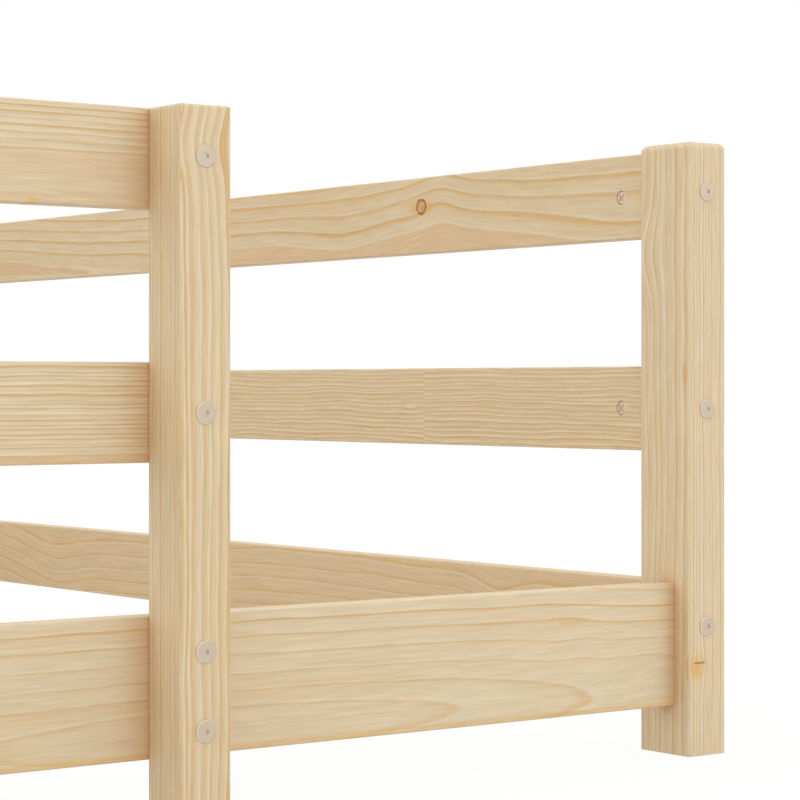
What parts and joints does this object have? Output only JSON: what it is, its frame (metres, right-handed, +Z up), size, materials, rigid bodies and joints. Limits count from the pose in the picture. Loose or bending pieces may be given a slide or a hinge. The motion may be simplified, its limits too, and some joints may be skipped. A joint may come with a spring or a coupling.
{
  "type": "floor bed",
  "caption": "Low pine floor bed for a child, with rounded corner posts, bolted guard rails and side boards, and a gap beside the entry post to climb in by.",
  "frame": {"origin": "on the floor under the middle of the bed's outline", "axes": "+X along the bed to the right as seen from the side with the way in, +Y to the back, +Z up"},
  "size_m": [2.0936, 1.5326, 0.5005],
  "materials": {
    "pine": "clear satin varnish on planed pine",
    "dowel_wood": "bare fluted hardwood",
    "plated_steel": "pale satin plating"
  },
  "bodies": {
    "root": {"back_left_barrel_nuts": "plated_steel", "back_left_corner_post": "pine", "back_left_dowels": "dowel_wood", "back_left_end_bolts": "plated_steel", "back_left_side_bolts": "plated_steel", "back_middle_post": "pine", "back_middle_post_bolts": "plated_steel", "back_middle_post_sleeve_nuts": "plated_steel", "back_middle_rail": "pine", "back_right_barrel_nuts": "plated_steel", "back_right_corner_post": "pine", "back_right_dowels": "dowel_wood", "back_right_end_bolts": "plated_steel", "back_right_side_bolts": "plated_steel", "back_side_board": "pine", "back_top_rail": "pine", "entry_post": "pine", "entry_post_bolts": "plated_steel", "entry_post_sleeve_nuts": "plated_steel", "front_left_barrel_nuts": "plated_steel", "front_left_corner_post": "pine", "front_left_dowels": "dowel_wood", "front_left_end_bolts": "plated_steel", "front_left_side_bolts": "plated_steel", "front_middle_rail": "pine", "front_right_barrel_nuts": "plated_steel", "front_right_corner_post": "pine", "front_right_dowels": "dowel_wood", "front_right_end_bolts": "plated_steel", "front_right_side_bolts": "plated_steel", "front_side_board": "pine", "front_top_rail": "pine", "left_end_bottom_rail": "pine", "left_end_middle_rail": "pine", "left_end_top_rail": "pine", "right_end_bottom_rail": "pine", "right_end_middle_rail": "pine", "right_end_top_rail": "pine"}
  },
  "joints": []
}
